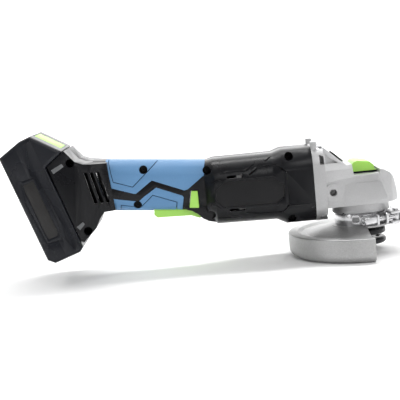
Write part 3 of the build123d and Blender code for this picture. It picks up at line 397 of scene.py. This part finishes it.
# ------------------------------------------------------------------ foot facet highlights (painted highlight)
# Two small textured grey patches are set in each side of the foot, on its chamfered facets. Their
# grey is a painted highlight, standing for light reflected off the facets. They are rounded at the
# edges.
facet_highlight_paint = surface("painted_facet_highlight", (0.13, 0.135, 0.14), 0.55, grain=700.0, depth=0.8, mottle=0.45)
highlight_places = [
    [(-298.6, 80.2), (-288.6, 86.4), (-286.6, 83.4), (-296.4, 76.6)],
    [(-275.5, 26.6), (-269.6, 31.6), (-267.6, 29.4), (-272.2, 23.6)],
]
# each grey patch is a painted highlight laid on a facet of the foot
for side, word in ((-1, "right"), (1, "left")):
    for number, corners in enumerate(highlight_places):
        highlight_piece = side_block("foot_facet_highlight_%s_%d" % (word, number + 1), corners, side * 35.0,
                         side * 35.85, handle_frame)
        round_and_fit(highlight_piece, 0.3, facet_highlight_paint, "housing")

# ------------------------------------------------------------------ soft grips
# Blue thermoplastic rubber, moulded over the handle in four panels that stand flush with the
# black nylon. The surface is dull, with a fine leather-like grain.
grip_blue = surface("blue_grip_rubber", (0.112, 0.262, 0.475), 0.58, grain=1000.0, depth=0.6,
                    spread=0.05, mottle=0.16)
upper_line = [(-247.1, 90.0), (-247.1, 86.0), (-242.0, 67.3), (-223.5, 62.7), (-200.1, 87.2),
              (-196.0, 91.5)]
lower_line = [(-235.3, 34.0), (-235.3, 39.2), (-234.8, 45.0), (-223.4, 43.7), (-215.2, 43.7),
              (-204.5, 55.0), (-181.5, 48.2), (-182.1, 40.4), (-182.6, 34.0)]
for side, word in ((-1, "right"), (1, "left")):
    for level, points in (("upper", upper_line), ("lower", lower_line)):
        cutter = side_block("line", trail(points, 0.7), side * 6.0, side * 30.0, handle_frame)
        panel = moulding("grip_%s_%s" % (level, word), 0.3, grip_blue, [cutter])

# ------------------------------------------------------------------ green controls
# The parts that a hand works: paddle, lock-off slide, spindle lock and battery release. They are
# self-coloured lime green nylon with a satin face.
lime = surface("lime_nylon", (0.400, 0.760, 0.125), 0.36, grain=1300.0, depth=0.15, spread=0.05,
               mottle=0.08)
for control in ("paddle_switch", "lock_off_button", "battery_release_button"):
    key = moulding(control, 0.45, lime)
# The spindle lock's cap is green; the skirt and step below it are a black insert.
lock_cap = moulding("spindle_lock_button", 0.9, lime, segments=4)
skirt_top = 75.9 * MM
step_front = 13.9 * MM
lock_cap.data.materials.append(black_plastic)
bpy.context.view_layer.objects.active = lock_cap
lock_cap.select_set(True)
bpy.ops.object.mode_set(mode="EDIT")
bpy.ops.mesh.select_all(action="SELECT")
bpy.ops.mesh.bisect(plane_co=(0, 0, skirt_top), plane_no=(0, 0, 1))
bpy.ops.mesh.select_all(action="DESELECT")
bpy.ops.object.mode_set(mode="OBJECT")
for face in lock_cap.data.polygons:
    black = face.center.z < skirt_top or face.center.x > step_front
    face.material_index = 1 if black else 0
lock_cap.select_set(False)

# ------------------------------------------------------------------ label plate
# A blank black film with a smooth face. It is glued into the eight-sided recess on the right of
# the motor barrel.
label_film = surface("label_film", (0.0050, 0.0050, 0.0060), 0.22, grain=400.0, depth=0.02,
                     spread=0.05, mottle=0.2, specular=0.25)
dress(label_film, "rating_plate")

# ------------------------------------------------------------------ gear case
# Pressure die-cast aluminium, bead blasted to an even pale grey. The bearing cap below it is cast
# in the same alloy and turned where the guard's collar runs.
cast = surface("blasted_casting", (0.47, 0.47, 0.475), 0.46, grain=1000.0, depth=0.8,
               spread=0.07, mottle=0.24, metallic=0.65)
for casting in ("gear_case", "bearing_cap"):
    body = moulding(casting, 0.7, cast, segments=3)

# ------------------------------------------------------------------ work lamp lens
# A smoked polycarbonate lens is pressed into the ramp of the gear case, over the work lamp. It
# stands a little proud and its rim is rounded.
smoked = surface("smoked_lens", (0.006, 0.006, 0.007), 0.16, grain=300.0, depth=0.02, mottle=0.2)
lens_radius, lens_depth, lens_stretch = 8.2 * MM, 1.8 * MM, 1.15
rim_width, rim_sink = 1.3 * MM, -0.35 * MM
ramp_slope = math.radians(42.8)
bpy.ops.object.select_all(action="DESELECT")
bpy.ops.mesh.primitive_cylinder_add(vertices=48, radius=lens_radius, depth=lens_depth)
lens = bpy.context.active_object
lens.name = "work_lamp_lens"
bpy.ops.object.mode_set(mode="EDIT")
bpy.ops.mesh.select_all(action="SELECT")
bpy.ops.transform.resize(value=(1.0, lens_stretch, 1.0))
bpy.ops.mesh.select_all(action="DESELECT")
bpy.ops.object.mode_set(mode="OBJECT")
for face in lens.data.polygons:
    face.select = face.normal.z > 0.9
bpy.ops.object.mode_set(mode="EDIT")
bpy.ops.mesh.inset(thickness=rim_width, depth=rim_sink)
bpy.ops.mesh.select_all(action="DESELECT")
bpy.ops.object.mode_set(mode="OBJECT")
ramp = Matrix.Translation((-19.8 * MM, 0, 90.7 * MM)) @ Matrix.Rotation(ramp_slope, 4, "Y")
round_and_fit(lens, 0.35, smoked, "housing")
lens.data.transform(ramp)

# ------------------------------------------------------------------ guard
# Deep-drawn sheet steel with a rolled-in lip, coated in a silver hammer finish. The clamp holds it
# on the neck of the bearing cap.
hammer_silver = surface("hammer_silver", (0.43, 0.43, 0.43), 0.46, grain=800.0, depth=1.0,
                        spread=0.08, mottle=0.45, metallic=0.75)
dress(hammer_silver, "guard")

# ------------------------------------------------------------------ clamp
# Zinc-plated steel: band, nut, screw, pin and cam lever, which draw the collar tight on the
# bearing cap. The screws of the gear case have the same plating.
zinc = surface("bright_zinc", (0.60, 0.60, 0.61), 0.26, grain=900.0, depth=0.1, spread=0.08,
               mottle=0.08, metallic=1.0)
for piece in ("clamp_band", "clamp_nut", "clamp_screw", "clamp_pivot_pin", "clamp_lever",
              "gear_case_screws"):
    part = moulding(piece, 0.25, zinc)

# ------------------------------------------------------------------ spindle and flanges
# Turned and ground steel. The inner flange and the lock nut hold the disc between them, and both
# are blackened, like the small screws.
ground = surface("ground_steel", (0.45, 0.45, 0.46), 0.24, grain=500.0, depth=0.1, metallic=1.0,
                 mottle=0.06, streak=(1.0, 1.0, 6.0))
dress(ground, "spindle", "crown_gear", "pinion", "motor_shaft", "spindle_lock_pin", "paddle_pin",
      "spindle_lock_spring")
black_oxide = surface("black_oxide", (0.022, 0.022, 0.024), 0.30, grain=900.0, depth=0.12,
                      metallic=0.5, mottle=0.2, specular=0.3)
black_screw = surface("blackened_screw", (0.004, 0.004, 0.004), 0.5, grain=900.0, depth=0.1,
                      mottle=0.2, specular=0.2)
dress(black_oxide, "bearing_cap_screws")
dress(black_screw, "housing_screws", "battery_screws")
for piece in ("inner_flange", "lock_nut"):
    disc = moulding(piece, 0.35, black_oxide)

# ------------------------------------------------------------------ bearings
# Polished steel rings and balls carry the spindle and the motor. A sintered bronze bush is
# pressed in at the top of the spindle, and the battery terminals share its colour.
polished = surface("polished_steel", (0.66, 0.66, 0.68), 0.12, grain=300.0, depth=0.03,
                   metallic=1.0, mottle=0.04)
dress(polished, "spindle_bearing_inner", "spindle_bearing_outer", "spindle_bearing_balls",
      "motor_front_bearing_inner", "motor_front_bearing_outer", "motor_rear_bearing_inner",
      "motor_rear_bearing_outer", "motor_bearing_balls")
bronze = surface("sintered_bronze", (0.50, 0.31, 0.12), 0.42, grain=1600.0, depth=0.3,
                 metallic=0.9)
dress(bronze, "spindle_bush", "battery_terminals")

# ------------------------------------------------------------------ motor
# Stacked steel laminations carry six copper coils on nylon frames, and the magnets turn inside
# them. The boards, leads and switch are fixed in the handle behind the motor.
laminated = surface("laminations", (0.22, 0.22, 0.23), 0.38, grain=700.0, depth=0.5,
                    metallic=0.9, streak=(9.0, 0.5, 0.5))
dress(laminated, "stator_core", "rotor_core")
magnet_coat = surface("nickel_magnets", (0.12, 0.12, 0.13), 0.3, metallic=0.7)
dress(magnet_coat, "rotor_magnets")
copper = surface("enamelled_copper", (0.48, 0.17, 0.06), 0.28, grain=260.0, depth=0.9,
                 metallic=0.9, streak=(1.0, 9.0, 9.0))
dress(copper, "stator_windings")
natural_nylon = surface("natural_nylon", (0.62, 0.61, 0.55), 0.5, grain=1200.0, depth=0.15)
dress(natural_nylon, "stator_insulators", "cooling_fan", "switch_body", "switch_plunger",
      "terminal_block")
circuit = surface("circuit_board", (0.012, 0.11, 0.045), 0.3, grain=500.0, depth=0.3, mottle=0.3)
dress(circuit, "hall_board", "controller_board", "battery_board")
red_lead = surface("silicone_lead", (0.32, 0.02, 0.02), 0.5, grain=900.0, depth=0.1)
dress(red_lead, "motor_leads")

# ------------------------------------------------------------------ battery
# A slide-on pack in two black nylon shells that are screwed together, with a blank label panel
# sunk in each side.
pack_black = surface("pack_nylon", (0.0085, 0.0095, 0.0135), 0.27, grain=1400.0, depth=0.25,
                     spread=0.07, mottle=0.3, specular=0.30)
pack_frame = handle_frame @ Matrix.Translation((-271.5 * MM, 0, 12.1 * MM)) \
    @ Matrix.Rotation(math.radians(-24.5), 4, "Y")
# The side's raised spine is left standing between two sunk bands, and a thin line frames the
# label.
front_band = [(-7.3, 104.2), (-1.6, 106.4), (-1.9, 74.2), (-1.9, 3.2), (-7.5, -3.3), (-11.4, 7.6),
              (-8.5, 21.9), (-8.9, 40.0), (-11.4, 72.8), (-15.9, 76.8)]
rear_band = [(-34.6, 96.0), (-31.6, 92.0), (-29.0, 78.0), (-34.6, 58.0)]
label_line = [(-24.6, 74.7), (-12.6, 73.6), (-10.6, 61.2), (-10.9, 28.3), (-14.1, 10.1),
              (-29.0, 12.3), (-30.9, 54.9), (-26.3, 73.0)]
for half in ("battery_case_outer", "battery_case_inner"):
    cutters = []
    for side in (-1, 1):
        cutters.append(side_block("band", front_band, side * 36.9, side * 45, pack_frame))
        cutters.append(side_block("band", rear_band, side * 36.9, side * 45, pack_frame))
        cutters.append(side_block("line", trail(label_line, 0.7), side * 37.3, side * 45,
                                  pack_frame))
    case = moulding(half, 0.55, pack_black, cutters, segments=3)

# ------------------------------------------------------------------ battery labels
# A blank satin film with clipped corners, die-cut from plastic sheet. One is stuck in the recess
# on each side of the battery.
film_corners = [(-25.3, 70.8), (-16.0, 71.0), (-15.3, 66.6), (-15.3, 19.3), (-17.1, 15.2),
                (-25.6, 15.2), (-26.8, 21.2), (-26.8, 64.0)]
film_black = surface("battery_film", (0.0160, 0.0150, 0.0150), 0.5, grain=600.0, depth=0.08,
                     mottle=0.2, specular=0.4)
for side, word in ((-1, "right"), (1, "left")):
    film = side_block("battery_label_" + word, film_corners, side * 37.15, side * 37.6, pack_frame)
    round_and_fit(film, 0.12, film_black, "battery", segments=2)

# ------------------------------------------------------------------ battery cells
# Five steel cylinders in blue shrink wrap, laid side by side in the pack. They are seen only
# where the pack is opened.
cell_wrap = surface("cell_wrap", (0.04, 0.15, 0.36), 0.3, grain=300.0, depth=0.05)
dress(cell_wrap, "battery_cells")
